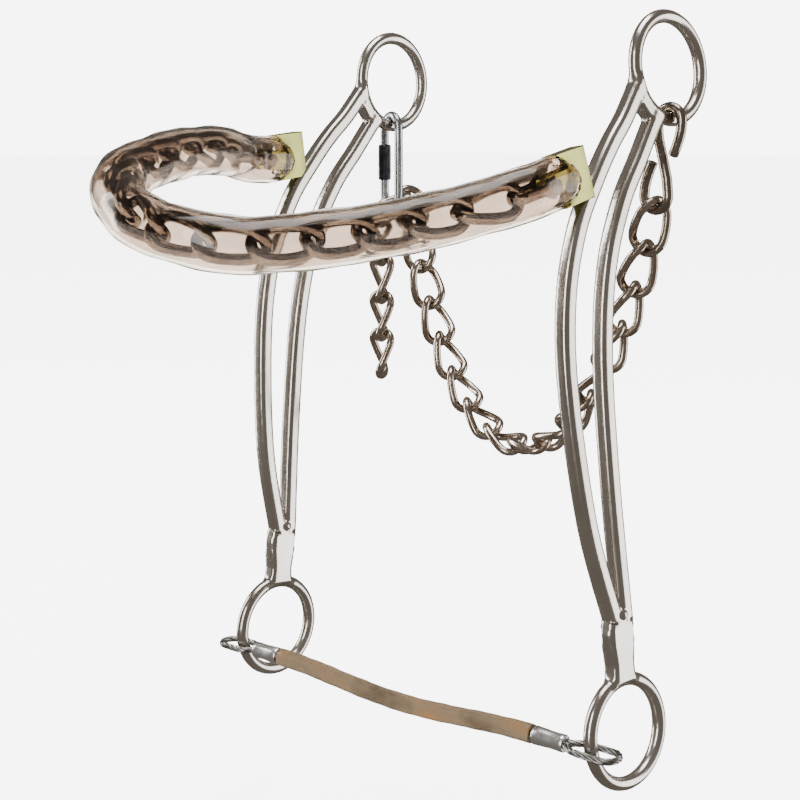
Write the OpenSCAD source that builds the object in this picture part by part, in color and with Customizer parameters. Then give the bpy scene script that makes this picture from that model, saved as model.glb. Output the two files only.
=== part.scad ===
// Bitless hackamore: two long cheek pieces with rings, a noseband of chain in a
// clear tube, a curb chain on an S-hook and a quick link, and a cable rein spreader.
// Millimetres. +Z is up, -Y is towards the horse's nose and +X is the near side.
// The origin is midway between the centres of the two headstall rings.

/* [Cheek pieces] */
// Distance between the centres of the headstall rings
ring_spacing = 128; // [110:1:160]
// Drop from a headstall ring's centre to its rein ring's centre
shank_drop = 201; // [170:1:245]
// How far a rein ring's centre lies in front of the headstall ring's centre
shank_sweep = 42; // [35:1:50]
// Mean diameter of the four rings
ring_d = 32; // [28:0.5:39]
// Wire thickness of the rings
ring_wire = 4.3; // [3.6:0.1:5.2]
// Width of the front and rear bars
bar_w = 5.6; // [4.6:0.1:6.8]
// Thickness of the cheek piece
bar_t = 5.4; // [4.6:0.1:6.6]
// Width of the plate below the slot
plate_w = 12; // [9:0.5:14]
// Height of the slot's lower end above the rein ring's centre
slot_up = 37; // [32:1:50]

/* [How the cheek pieces hang] */
// Outward tilt of the near cheek piece, in degrees
near_splay = 7; // [0:0.5:9]
// Outward tilt of the far cheek piece, in degrees
far_splay = -1.5; // [-3:0.5:9]
// Swing of the far cheek piece towards the nose, in degrees
far_lean = 7; // [0:0.5:9]
// Toe-out of each cheek piece, in degrees
toe = 2.3; // [0:0.1:4]

/* [Noseband] */
// Reach of the noseband in front of its rivets
nose_reach = 95.7; // [88:0.5:120]
// Outside diameter of the clear tube
tube_d = 16.6; // [16:0.2:20]
// Wall of the clear tube
tube_wall = 1.2; // [0.8:0.1:1.3]
// Number of links in the tube
nose_links = 15; // [14:1:16]
// Wire thickness of the links in the tube
nose_wire = 3.4; // [3:0.1:3.6]
// Outside width of the links in the tube
nose_link_w = 12.2; // [11.6:0.1:12.4]
// Diameter of the noseband rivets
rivet_d = 3; // [2.6:0.1:3.4]

/* [Curb chain] */
// Wire thickness of the curb chain
curb_wire = 2.9; // [2.4:0.1:3]
// Pitch of the curb chain
curb_pitch = 14.5; // [13.8:0.1:17.4]
// Outside width of a curb link
curb_link_w = 13; // [12:0.1:14]
// Links between the quick link and the S-hook
curb_links = 16; // [15:1:18]
// Links in the free tail
tail_links = 4; // [1:1:5]
// Wire thickness of the S-hook
hook_wire = 3.4; // [3:0.1:3.6]
// Overall height of the S-hook
hook_h = 35.5; // [33:0.5:42]
// Wire thickness of the quick link
quick_wire = 3.2; // [3:0.1:3.6]
// Overall length of the quick link
quick_h = 38; // [36:0.5:46]
// Length of the quick link's sleeve nut
nut_len = 13.2; // [11:0.1:14]

/* [Rein spreader] */
// Thickness of the wire rope
rope_d = 2.3; // [2:0.1:2.6]
// Outside diameter of the plastic sleeve
sleeve_d = 6.2; // [5.6:0.1:7.4]
// Outside diameter of a crimped ferrule
ferrule_d = 5.6; // [5:0.1:6.7]
// Length of a crimped ferrule
ferrule_len = 11; // [9:0.5:13]
// Sag of the spreader at mid span
spreader_sag = 3; // [1:0.5:6]

/* [Hidden] */
link_gap = 0.15;      // play between two links that touch
nose_gap = 0.7;       // play between two links in the tube
fit_gap = 0.3;        // clearance between parts that move past each other
thread_gap = 0.08;    // radial clearance of the sleeve nut on its thread
ring_stagger = 1.6;   // half the fore and aft offset of the headstall rings
ring_lift = 0.6;      // half the height offset of the headstall rings
far_toe = toe;
lug_tall = 15.8;      // height of the welded block
lug_long = 16.3;      // the block's rear face lies this far behind the rivet
lug_in = 2.4;         // inner face of the block from the cheek's mid plane
lug_out = 3.4;        // outer face of the block from the cheek's mid plane
lug_rise = 13.5;      // downward pitch of the noseband at the lugs, in degrees
far_rise = 3.5;       // the same for the noseband's far end, which lies flatter
lug_mid = (lug_out - lug_in) / 2;
pivot_u = -60;        // the rivet's place on the cheek: ahead of the ring centre
pivot_v = 35.4;       // and below it
pin_gap = 0.08;       // radial clearance of a rivet in the tongue
tongue_t = 3.4;       // thickness of the tongue that the noseband is riveted to
tongue_h = 6.6;       // height of the tongue
strap_t = 1.4;        // strap of the end shackles
strap_gap = 0.2;      // side clearance between tongue and shackle
strap_h = 6.8;        // height of the shackle round the rivet
shackle_neck = 3.4;   // height of the shackle at its closed end
end_r = 8.2;          // the tube's end is cut round at this radius from the rivet
end_tall = 16.4;      // height of the tube's pressed end
end_wide = 13;        // width of the tube's pressed end
press_len = 17;       // over which the tube goes from pressed to round
ring_r = ring_d / 2;

curb_names = [for (i = [1:curb_links]) str("curb_link_", i < 10 ? "0" : "", i)];
tail_names = [for (i = [1:tail_links]) str("tail_link_", i)];
nose_names = [for (i = [1:nose_links]) str("noseband_link_", i < 10 ? "0" : "", i)];

// ---- vectors and frames ----
function unit(a) = a / norm(a);
function lerp(a, b, k) = a + (b - a) * k;
function rx(p, a) = [p.x, p.y * cos(a) - p.z * sin(a), p.y * sin(a) + p.z * cos(a)];
function ry(p, a) = [p.x * cos(a) + p.z * sin(a), p.y, p.z * cos(a) - p.x * sin(a)];
function rz(p, a) = [p.x * cos(a) - p.y * sin(a), p.x * sin(a) + p.y * cos(a), p.z];
function square_to(a, t) = unit(a - (a * t) * t);

// A point of a cheek piece: outward, rearward and up from its headstall ring's centre.
near_shift = [ring_spacing / 2, -ring_stagger, ring_lift];
far_shift = [ring_spacing / 2, ring_stagger, -ring_lift];
function near_turn(p) = rz(ry(p, -near_splay), -toe);
function far_turn(p) = rz(ry(rx(p, -far_lean), -far_splay), -far_toe);
function flip(p) = [-p.x, p.y, p.z];
function near_pt(p) = near_turn(p) + near_shift;
function far_pt(p) = flip(far_turn(p) + far_shift);

module near_place() {
    translate(near_shift) rotate([0, 0, -toe]) rotate([0, -near_splay, 0]) children();
}

module far_place() {
    mirror([1, 0, 0]) translate(far_shift) rotate([0, 0, -far_toe])
        rotate([0, -far_splay, 0]) rotate([-far_lean, 0, 0]) children();
}

// Turns a drawing of (rearward, up) into a slab in the cheek's plane.
module slab(x_low, x_high) {
    translate([x_low, 0, 0]) rotate([90, 0, 90])
        linear_extrude(height = x_high - x_low) children();
}

// ---- curves ----
// A smooth curve through points, with n steps for each span.
function spline_at(p, i, k) =
    let (a = p[max(i - 1, 0)], b = p[i], c = p[i + 1], d = p[min(i + 2, len(p) - 1)])
    0.5 * ((2 * b) + (c - a) * k + (2 * a - 5 * b + 4 * c - d) * k * k
           + (3 * b - a - 3 * c + d) * k * k * k);
function spline(p, n) = concat(
    [for (i = [0:len(p) - 2], j = [0:n - 1]) spline_at(p, i, j / n)],
    [p[len(p) - 1]]);
function run_lengths(p, i = 0, at = 0, out = []) =
    i >= len(p) - 1 ? concat(out, [at])
    : run_lengths(p, i + 1, at + norm(p[i + 1] - p[i]), concat(out, [at]));
// The point that lies a distance s along the polyline p, whose run lengths are r.
function span_of(r, s, lo, hi) =
    hi - lo < 2 ? lo
    : let (m = floor((lo + hi) / 2)) r[m] > s ? span_of(r, s, lo, m) : span_of(r, s, m, hi);
function along(p, r, s) =
    let (i = span_of(r, s, 0, len(p) - 1)) lerp(p[i], p[i + 1], (s - r[i]) / (r[i + 1] - r[i]));

// ---- swept solids ----
function ring_of(c, a, b, ra, rb, n) =
    [for (k = [0:n - 1]) c + a * ra * cos(360 * k / n) + b * rb * sin(360 * k / n)];
function quads(m, n, closed) = [for (i = [0:(closed ? m - 1 : m - 2)], k = [0:n - 1])
    let (j = (i + 1) % m, l = (k + 1) % n) each [
        [i * n + k, j * n + l, i * n + l],
        [i * n + k, j * n + k, j * n + l]]];
function caps(m, n) = [[for (k = [0:n - 1]) k], [for (k = [n - 1:-1:0]) (m - 1) * n + k]];

// A closed loop of wire about the point mid.
module wire_loop(path, mid, d, n) {
    m = len(path);
    rings = [for (i = [0:m - 1])
        let (t = unit(path[(i + 1) % m] - path[(i + m - 1) % m]),
             a = square_to(path[i] - mid, t))
        each ring_of(path[i], a, cross(t, a), d / 2, d / 2, n)];
    polyhedron(points = rings, faces = quads(m, n, true), convexity = 6);
}

// An open run of tube or wire, with a half width and a half height at each point.
module run(path, wide, tall, up, n) {
    m = len(path);
    rings = [for (i = [0:m - 1])
        let (t = unit(path[min(i + 1, m - 1)] - path[max(i - 1, 0)]),
             b = square_to(up, t))
        each ring_of(path[i], cross(b, t), b, wide[i], tall[i], n)];
    polyhedron(points = rings, faces = concat(quads(m, n, false), caps(m, n)), convexity = 8);
}

// A hollow run: the outer skin forwards, then the bore backwards.
module hose(path, wide, tall, wall, up, n) {
    m = len(path);
    order = concat([for (i = [0:m - 1]) i], [for (i = [m - 1:-1:0]) i]);
    rings = [for (j = [0:2 * m - 1])
        let (i = order[j], less = j < m ? 0 : wall,
             t = unit(path[min(i + 1, m - 1)] - path[max(i - 1, 0)]),
             b = square_to(up, t))
        each ring_of(path[i], cross(b, t), b, wide[i] - less, tall[i] - less, n)];
    polyhedron(points = rings, faces = quads(2 * m, n, true), convexity = 10);
}

module wire_run(path, d, up, n) {
    r = [for (p = path) d / 2];
    run(path, r, r, up, n);
}

// ---- twisted links ----
// The middle line of a link's wire: half length h, half width w, twisted about its axis.
link_steps = 20;
function link_flat(h, w, i) =
    let (q = link_steps / 2, k = i % q, a = 180 * k / (q - 2), side = i < q ? 1 : -1)
    k <= q - 2 ? [side * w * cos(a), side * (h - w + w * sin(a))]
    : [-side * w, 0];
function link_path(h, w, twist) = [for (i = [0:link_steps - 1])
    let (p = link_flat(h, w, i), a = twist / 2 * p[1] / h)
    [p[0] * cos(a), p[0] * sin(a), p[1]]];

// A link centred at mid, with its axis along t and its middle width along side.
module link(mid, t, side, h, w, d, twist) {
    ez = unit(t);
    ex = square_to(side, ez);
    ey = cross(ez, ex);
    path = [for (p = link_path(h, w, twist)) mid + ex * p.x + ey * p.y + ez * p.z];
    wire_loop(path, mid, d, 8);
}

// ---- cheek pieces, drawn as (rearward, up) from the headstall ring's centre ----
rein_at = [-shank_sweep, -shank_drop];
slot_low = rein_at + [0, slot_up];
bend_low = [-54.8, -69];
function down(k, u) = [u - shank_sweep + 42, lerp(bend_low.y, slot_low.y, k)];
front_line = spline([
    [-ring_r + 0.8, -5], [-23.2, -15.6], [-30.6, -23.6], [-38.4, -33.6], [-48, -48.5], bend_low,
    down(0.28, -56.6), down(0.7, -52.6), slot_low + [-2.6, -1]], 6);
rear_line = spline([
    [-ring_r * 0.5, -ring_r * 0.87], [-17.5, -27.5], [-27.5, -41.5], [-36, -61],
    down(0.2, -40.5), down(0.6, -41), slot_low + [2.4, -1]], 6);

function normal_at(p, i) =
    let (t = unit(p[min(i + 1, len(p) - 1)] - p[max(i - 1, 0)])) [-t.y, t.x];
function strip(p, w) = concat(
    [for (i = [0:len(p) - 1]) p[i] + normal_at(p, i) * w / 2],
    [for (i = [len(p) - 1:-1:0]) p[i] - normal_at(p, i) * w / 2]);

module bar_outline() {
    polygon(strip(front_line, bar_w));
    polygon(strip(rear_line, bar_w));
}

module plate_outline() {
    top = slot_low + [-0.2, 1];
    neck = rein_at + [-0.4, ring_r + 4];
    foot = rein_at + [0, ring_r];
    polygon(concat(
        [top + [-plate_w / 2 - 0.2, 0], top + [0, -4], top + [plate_w / 2 - 0.2, 0]],
        [neck + [plate_w * 0.4, 0], foot + [ring_r * 0.55, -1.5], foot + [-ring_r * 0.55, -1.5]],
        [neck + [-plate_w * 0.4, 0]]));
}

// The thin bridge between the headstall ring and the top of the slot.
module web_outline() {
    difference() {
        polygon([
            [-ring_r - 2.6, -3], [-ring_r * 0.35, -ring_r],
            [-ring_r * 0.48, -ring_r - 4.5], [-ring_r - 8, -ring_r]]);
        translate([-ring_r - 1, -ring_r - 1.5]) circle(r = 4.2, $fn = 48);
    }
}

module ring_at(p) {
    translate([0, p.x, p.y]) rotate([0, 90, 0])
        rotate_extrude($fn = 96) translate([ring_r, 0]) circle(d = ring_wire, $fn = 32);
}

module ring_hole(p) {
    translate([-bar_t, p.x, p.y]) rotate([0, 90, 0])
        cylinder(r = ring_r, h = 2 * bar_t, $fn = 96);
}

module cheek_piece() {
    difference() {
        slab(-bar_t / 2, bar_t / 2) {
            bar_outline();
            plate_outline();
            web_outline();
        }
        ring_hole([0, 0]);
        ring_hole(rein_at);
    }
    ring_at([0, 0]);
    ring_at(rein_at);
}

module near_cheek() { color("#a9a49c") near_place() cheek_piece(); }
module far_cheek() { color("#a9a49c") far_place() cheek_piece(); }

// ---- lugs: a block on the front bar, with a tongue for the noseband's rivet ----
pivot = [lug_mid, pivot_u, -pivot_v];
near_end = near_pt(pivot);
far_end = far_pt(pivot);
end_mid = (near_end + far_end) / 2;
half_span = norm(near_end - far_end) / 2;
hinge = unit(near_end - far_end);
near_out = near_pt(pivot + [0, 10 * cos(lug_rise), 10 * sin(lug_rise)]);
far_out = far_pt(pivot + [0, 10 * cos(far_rise), 10 * sin(far_rise)]);
near_back = square_to(near_out - near_end, hinge);
far_back = square_to(far_out - far_end, hinge);

// Places children at an end of the noseband: X along the hinge, Y back to the cheek.
module frame_at(p, x, y) {
    z = cross(x, y);
    multmatrix([[x.x, y.x, z.x, p.x], [x.y, y.y, z.y, p.y], [x.z, y.z, z.z, p.z], [0, 0, 0, 1]])
        children();
}

// The block, in the cheek piece's own frame.
module lug_block() {
    difference() {
        translate(pivot) rotate([lug_rise, 0, 0])
            translate([-lug_in - lug_mid, 1, -lug_tall / 2])
                cube([lug_in + lug_out, lug_long - 1, lug_tall]);
        slab(-bar_t / 2, bar_t / 2) bar_outline();
        slab(-10, 10) polygon(concat(
            [for (i = [0:len(front_line) - 1])
                front_line[i] + normal_at(front_line, i) * bar_w / 2],
            [[40, slot_low.y], [40, 0]]));
    }
}

module across(d, h) {
    rotate([0, 90, 0]) cylinder(d = d, h = h, center = true, $fn = 96);
}

// The tongue, in the rivet's frame.
module tongue() {
    translate([-tongue_t / 2, 0, -tongue_h / 2]) cube([tongue_t, end_r + 2, tongue_h]);
    across(tongue_h, tongue_t);
}

module near_lug() {
    color("#9a9566") difference() {
        union() {
            difference() {
                near_place() lug_block();
                frame_at(near_end, hinge, near_back) across(2 * (end_r + fit_gap), 40);
            }
            frame_at(near_end, hinge, near_back) tongue();
        }
        frame_at(near_end, hinge, near_back) across(rivet_d + 2 * pin_gap, 20);
    }
}

module far_lug() {
    color("#9a9566") difference() {
        union() {
            difference() {
                far_place() lug_block();
                frame_at(far_end, hinge, far_back) across(2 * (end_r + fit_gap), 40);
            }
            frame_at(far_end, hinge, far_back) tongue();
        }
        frame_at(far_end, hinge, far_back) across(rivet_d + 2 * pin_gap, 20);
    }
}

// ---- noseband ----
// Points of the tube's middle line, for a half span of 63.9 and a reach of 95.7.
nose_shape = [
    [54.6, -27, -10.4], [44.6, -51.3, -14.9], [30.5, -79.3, -17.8],
    [17, -91.1, -16], [-0.4, -95.7, -11.8], [-17.5, -91.1, -6],
    [-31.5, -79.3, 0], [-45.4, -51.3, 5.4], [-55, -27, 6.4]];
tube_tail = end_r + 3;
nose_line = spline(concat(
    [near_end + near_back * tube_tail, near_end, near_end - near_back * 8],
    [for (p = nose_shape) end_mid + [p.x * half_span / 63.9, p.y * nose_reach / 95.7, p.z]],
    [far_end - far_back * 8, far_end, far_end + far_back * tube_tail]), 5);
nose_runs = run_lengths(nose_line);
nose_len = nose_runs[len(nose_runs) - 1];

// Half width and half height of the tube at a distance s from its nearer end.
function press(s) =
    let (k = min(max((s - tube_tail - 4) / press_len, 0), 1)) k * k * (3 - 2 * k);
function tube_half_w(s) = lerp(end_wide, tube_d, press(s)) / 2;
function tube_half_h(s) = lerp(end_tall, tube_d, press(s)) / 2;

tube_at = concat(
    [0, tube_tail],
    [for (i = [1:45]) tube_tail + (nose_len - 2 * tube_tail) * i / 46],
    [nose_len - tube_tail, nose_len]);

module end_cut() {
    difference() {
        translate([-20, 0, -15]) cube([40, 30, 30]);
        across(2 * end_r, 50);
    }
}

module noseband_tube() {
    pts = [for (s = tube_at) along(nose_line, nose_runs, s)];
    near = [for (s = tube_at) min(s, nose_len - s)];
    color("#b9b0a4", 0.5) difference() {
        hose(pts, [for (s = near) tube_half_w(s)], [for (s = near) tube_half_h(s)],
            tube_wall, [0, 0, 1], 20);
        frame_at(near_end, hinge, near_back) end_cut();
        frame_at(far_end, hinge, far_back) end_cut();
    }
}

module rivet() {
    half = inner_r + strap_t;
    across(rivet_d, 2 * half + 0.6);
    for (x = [-1, 1]) translate([x * (half + 0.2), 0, 0]) across(rivet_d + 1.6, 0.4);
}

module near_rivet() { color("#55504a") frame_at(near_end, hinge, near_back) rivet(); }
module far_rivet() { color("#55504a") frame_at(far_end, hinge, far_back) rivet(); }

// The shackle is a strap bent round the first link and riveted to the tongue.
inner_r = max(tongue_t / 2 + strap_gap, nose_wire / 2 + 0.6);
shackle_bend = tongue_h / 2 + nose_wire + 5.5;
module shackle_plan(grow) {
    r = inner_r + grow;
    translate([-r, -shackle_bend]) square([2 * r, shackle_bend + strap_h / 2]);
    translate([0, -shackle_bend]) circle(r = r, $fn = 64);
}

module shackle() {
    difference() {
        intersection() {
            translate([0, 0, -strap_h / 2]) linear_extrude(height = strap_h) difference() {
                shackle_plan(strap_t);
                shackle_plan(0);
                translate([-10, 0]) square([20, 20]);
            }
            union() {
                across(strap_h, 20);
                translate([-10, -shackle_bend - 10, -shackle_neck / 2])
                    cube([20, shackle_bend + 10, shackle_neck]);
            }
        }
        across(rivet_d, 20);
    }
    for (x = [-1, 1]) difference() {
        translate([x * (inner_r + strap_t / 2), 0, 0]) across(strap_h, strap_t);
        across(rivet_d, 20);
    }
}

module near_shackle() { color("#8c857c") frame_at(near_end, hinge, near_back) shackle(); }
module far_shackle() { color("#8c857c") frame_at(far_end, hinge, far_back) shackle(); }

// Chain joints lie on the tube's middle line; the end links hang in the shackles.
nose_start = tube_tail + shackle_bend;
nose_pitch = (nose_len - 2 * nose_start - nose_wire - nose_gap) / nose_links;
nose_h = (nose_pitch + nose_wire + nose_gap) / 2;
nose_w = (nose_link_w - nose_wire) / 2;
near_hold = near_end - near_back * shackle_bend;
far_hold = far_end - far_back * shackle_bend;
function nose_joint(i) =
    along(nose_line, nose_runs, nose_start + (nose_wire + nose_gap) / 2 + nose_pitch * i);

module noseband_link(i) {
    a = nose_joint(i - 1);
    b = nose_joint(i);
    t = i == 1 ? unit(b - near_hold) : i == nose_links ? unit(far_hold - a) : unit(b - a);
    mid = i == 1 ? near_hold + t * nose_h
        : i == nose_links ? far_hold - t * nose_h : (a + b) / 2;
    level = unit(cross(t, [0, 0, 1]));
    roll = 90 + 45 * pow(1 - 2 * (i - 0.5) / nose_links, 3);
    side = level * cos(roll) + cross(t, level) * sin(roll);
    color("#6d675f") link(mid, t, side, nose_h, nose_w, nose_wire, 90);
}

// ---- curb chain ----
curb_h = (curb_pitch + curb_wire + link_gap) / 2;
curb_w = (curb_link_w - curb_wire) / 2;
near_ring_foot = near_pt([0, -1, -ring_r]);
far_ring_foot = far_pt([0, 1, -ring_r]);

// S-hook: the upper bend hangs on the ring and the lower bend carries the chain.
hook_r = 4.6;
hook_seat = near_ring_foot + [0, 0, (ring_wire + hook_wire) / 2 + 0.05];
hook_low = hook_seat - [0, 0, hook_h - hook_wire];
hook_out = 0;
hook_in = -4.4;
function arc_xz(c, r, a0, a1, n) =
    [for (i = [0:n]) let (a = a0 + (a1 - a0) * i / n) c + [r * cos(a), 0, r * sin(a)]];
hook_top_c = hook_seat + [hook_out, 0, -hook_r];
hook_low_c = hook_low + [hook_in, 0, hook_r];
hook_path = concat(
    [hook_top_c + [1.5, 0, -10.5], hook_top_c + [3.6, 0, -5.5]],
    arc_xz(hook_top_c, hook_r, 0, 180, 10),
    [lerp(hook_top_c + [-hook_r, 0, -3], hook_low_c + [hook_r, 0, 3], 0.12)],
    [lerp(hook_top_c + [-hook_r, 0, -3], hook_low_c + [hook_r, 0, 3], 0.88)],
    arc_xz(hook_low_c, hook_r, 0, -180, 10),
    [hook_low_c + [-3.6, 0, 5.5], hook_low_c + [-1.5, 0, 10.5]]);

module s_hook() {
    color("#5d554c") wire_run(hook_path, hook_wire, [0, 1, 0], 12);
}

// Quick link: an open loop whose gap is bridged by the sleeve nut.
quick_turn = -12;
quick_r = 5;
quick_seat = far_ring_foot + [0, 0, (ring_wire + quick_wire) / 2 + 0.05];
quick_mid = quick_seat - [0, 0, (quick_h - quick_wire) / 2];
quick_x = [cos(quick_turn), sin(quick_turn), 0];
quick_leg = (quick_h - quick_wire) / 2 - quick_r;
quick_gap = [-4.3, -1.1];
function quick_pt(a, b) = quick_mid + quick_x * a + [0, 0, b];
quick_path = concat(
    [quick_pt(-quick_r, quick_gap[0]), quick_pt(-quick_r, -quick_leg * 0.7)],
    [for (a = [180:20:360]) quick_pt(quick_r * cos(a), -quick_leg + quick_r * sin(a))],
    [quick_pt(quick_r, 0)],
    [for (a = [0:20:180]) quick_pt(quick_r * cos(a), quick_leg + quick_r * sin(a))],
    [quick_pt(-quick_r, quick_leg * 0.7), quick_pt(-quick_r, quick_gap[1])]);

module quick_link() {
    color("#8f979c") wire_run(quick_path, quick_wire, cross(quick_x, [0, 0, 1]), 12);
}

module sleeve_nut() {
    bore = quick_wire + 2 * thread_gap;
    color("#3c3e40") translate(quick_pt(-quick_r, -nut_len / 2)) difference() {
        intersection() {
            cylinder(d = quick_wire + 2, h = nut_len, $fn = 48);
            translate([0, 0, nut_len / 2]) rotate([0, 0, quick_turn])
                cube([quick_wire + 1.6, quick_wire + 1.6, nut_len], center = true);
        }
        translate([0, 0, -1]) cylinder(d = bore, h = nut_len + 2, $fn = 48);
    }
}

// The link that the quick link has caught rests across its lower bend.
caught_tilt = 25;     // rise of the link towards the rear, in degrees
caught_roll = 39;     // roll about its own length, in degrees
caught_twist = 63;    // twist of its wire, in degrees
caught_slide = 1.4;   // its middle lies this far behind the quick link
caught_axis = [0, cos(caught_tilt), sin(caught_tilt)];
caught_side = [0, -sin(caught_tilt), cos(caught_tilt)] * cos(caught_roll)
    + [sin(caught_roll), 0, 0];
caught_rest = quick_mid + [0, 0, (curb_wire + quick_wire - quick_h + quick_wire) / 2 + 0.12];
caught_mid = caught_rest - caught_side * curb_w + caught_axis * caught_slide;

module caught_link() {
    color("#6b5f50")
        link(caught_mid, caught_axis, caught_side, curb_h, curb_w, curb_wire, caught_twist);
}

// A point of its wire at the angle a round the rear (s = 1) or front (s = -1) end.
function caught_pt(s, a) =
    let (x = s * curb_w * cos(a), z = s * (curb_h - curb_w + curb_w * sin(a)),
         q = caught_twist / 2 * z / curb_h)
    caught_mid + caught_side * (x * cos(q)) + cross(caught_axis, caught_side) * (x * sin(q))
    + caught_axis * z;

// The strand and the tail hang from the low side of its two ends.
half_joint = (curb_wire + link_gap) / 2;
strand_top = caught_pt(1, 60) - unit([0.28, -0.03, -0.96]) * half_joint;
tail_top = caught_pt(-1, 32) + [0, 0, half_joint];
tail_turn = -65;
strand_end = hook_low + [hook_in, 0, (hook_wire + link_gap) / 2];

// A hanging chain of a known length between two points.
chain_len = curb_pitch * curb_links;
chain_flat = [strand_end.x - strand_top.x, strand_end.y - strand_top.y, 0];
chain_span = norm(chain_flat);
chain_dir = unit(chain_flat);
chain_rise = strand_end.z - strand_top.z;
function sinh(x) = (exp(x) - exp(-x)) / 2;
function cosh(x) = (exp(x) + exp(-x)) / 2;
function asinh(x) = ln(x + sqrt(x * x + 1));
chain_ratio = sqrt(chain_len * chain_len - chain_rise * chain_rise) / chain_span;
function solve_k(lo, hi, n) = let (m = (lo + hi) / 2)
    n == 0 ? m : sinh(m) / m > chain_ratio ? solve_k(lo, m, n - 1) : solve_k(m, hi, n - 1);
chain_a = chain_span / 2 / solve_k(0.01, 6, 40);
chain_low = chain_span / 2 - chain_a * asinh(chain_rise / (2 * chain_a * sinh(chain_span / 2 / chain_a)));
chain_s0 = chain_a * sinh(-chain_low / chain_a);
function chain_pt(s) =
    let (x = chain_a * asinh((chain_s0 + s) / chain_a))
    strand_top + chain_dir * (x + chain_low)
    + [0, 0, chain_a * (cosh(x / chain_a) - cosh(chain_low / chain_a))];

chain_side = cross(chain_dir, [0, 0, 1]);

module curb_link(i) {
    a = chain_pt(curb_pitch * (i - 1));
    b = chain_pt(curb_pitch * i);
    t = unit(b - a);
    u = (i - 0.5) / curb_links;
    roll = u < 0.25 ? lerp(60, -1, u * 4) : u > 0.8 ? lerp(-1, -45, (u - 0.8) * 5) : -1;
    side = chain_side * cos(roll) + cross(t, chain_side) * sin(roll);
    color("#6b5f50") link((a + b) / 2, t, side, curb_h, curb_w, curb_wire, 90);
}

module tail_link(i) {
    mid = tail_top - [0, 0, curb_pitch * (i - 0.5)];
    color("#6b5f50") link(mid, [0, 0, -1], [sin(tail_turn), cos(tail_turn), 0], curb_h, curb_w, curb_wire, 90);
}

// ---- rein spreader, between the lower front of the two rein rings ----
near_grip = near_pt([0, rein_at.x - ring_r * 0.99, rein_at.y - ring_r * 0.14]);
far_grip = far_pt([0, rein_at.x - ring_r * 0.93, rein_at.y - ring_r * 0.37]);
rope_dir = unit(far_grip - near_grip);
rope_side = unit(cross([0, 0, 1], rope_dir));
eye_in_near = 9;      // ring wire to the near ferrule's mouth
eye_in_far = 6;       // ring wire to the far ferrule's mouth
eye_out = 9;          // ring wire to the outer end of an eye
eye_w = ring_wire / 2 + rope_d / 2 + 0.8;
strand = rope_d / 2 + 0.06;
near_crimp = near_grip + rope_dir * eye_in_near;
far_crimp = far_grip - rope_dir * eye_in_far;
rope_span = norm(far_crimp - near_crimp);
free_a = (ferrule_len + 1) / rope_span;
function eased(k) = k < free_a ? 0 : k > 1 - free_a ? 1 : (k - free_a) / (1 - 2 * free_a);
// A point of the rope: a fraction k along the span between the two ferrule mouths.
function rope_pt(k) =
    let (q = eased(k)) lerp(near_crimp, far_crimp, k) - [0, 0, spreader_sag * pow(sin(180 * q), 2)];
rope_mid = [for (i = [0:24]) rope_pt(free_a + (1 - 2 * free_a) * i / 24)];

// An eye seen from above: from the ferrule round the ring's wire and back.
function eye_pts(grip, back, mouth) =
    let (c = grip - back * (eye_out - eye_w))
    concat(
        [grip + back * (mouth + ferrule_len - 2) + rope_side * strand],
        [grip + back * mouth + rope_side * strand],
        [grip + back * (mouth * 0.45) + rope_side * eye_w * 0.94],
        [for (a = [-80:20:80]) c - back * eye_w * cos(a) - rope_side * eye_w * sin(a)],
        [grip + back * (mouth * 0.45) - rope_side * eye_w * 0.94],
        [grip + back * mouth - rope_side * strand],
        [grip + back * (mouth + ferrule_len - 2) - rope_side * strand]);
function flipped(p) = [for (i = [len(p) - 1:-1:0]) p[i]];
cable_path = concat(
    eye_pts(near_grip, rope_dir, eye_in_near),
    rope_mid,
    flipped(eye_pts(far_grip, -rope_dir, eye_in_far)));

module spreader_cable() {
    color("#8a8781") wire_run(cable_path, rope_d, [0, 0, 1], 8);
}

module spreader_sleeve() {
    m = [for (i = [0:26]) rope_pt(free_a + (1 - 2 * free_a) * i / 26)];
    r = [for (p = m) sleeve_d / 2];
    color("#9c7f5c", 0.7) hose(m, r, r, (sleeve_d - rope_d) / 2 - 0.1, [0, 0, 1], 12);
}

// A crimped ferrule: flared at its mouth, with a hole for two strands of rope.
module ferrule() {
    rotate([-90, 0, 0]) difference() {
        rotate_extrude($fn = 128) polygon([
            [0, 0], [ferrule_d / 2 - 0.3, 0], [ferrule_d / 2, 0.5],
            [ferrule_d / 2 + 0.2, ferrule_len - 1], [ferrule_d / 2, ferrule_len],
            [0, ferrule_len]]);
        for (x = [-strand, strand])
            translate([x, 0, -1]) cylinder(d = rope_d + 0.1, h = ferrule_len + 2, $fn = 96);
        translate([-strand, -rope_d * 0.4, -1])
            cube([2 * strand, rope_d * 0.8, ferrule_len + 2]);
    }
}

module near_ferrule() {
    color("#c9c9c6") frame_at(near_crimp, cross(rope_dir, [0, 0, 1]), rope_dir) ferrule();
}
module far_ferrule() {
    color("#c9c9c6") frame_at(far_crimp, cross(-rope_dir, [0, 0, 1]), -rope_dir) ferrule();
}

near_cheek();
far_cheek();
near_lug();
far_lug();
noseband_tube();
near_rivet();
far_rivet();
near_shackle();
far_shackle();
for (i = [1:nose_links]) noseband_link(i);
s_hook();
quick_link();
sleeve_nut();
caught_link();
for (i = [1:curb_links]) curb_link(i);
for (i = [1:tail_links]) tail_link(i);
spreader_cable();
spreader_sleeve();
near_ferrule();
far_ferrule();
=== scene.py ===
"""Looks for the bitless hackamore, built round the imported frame. Lengths below are millimetres."""
import math

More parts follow.
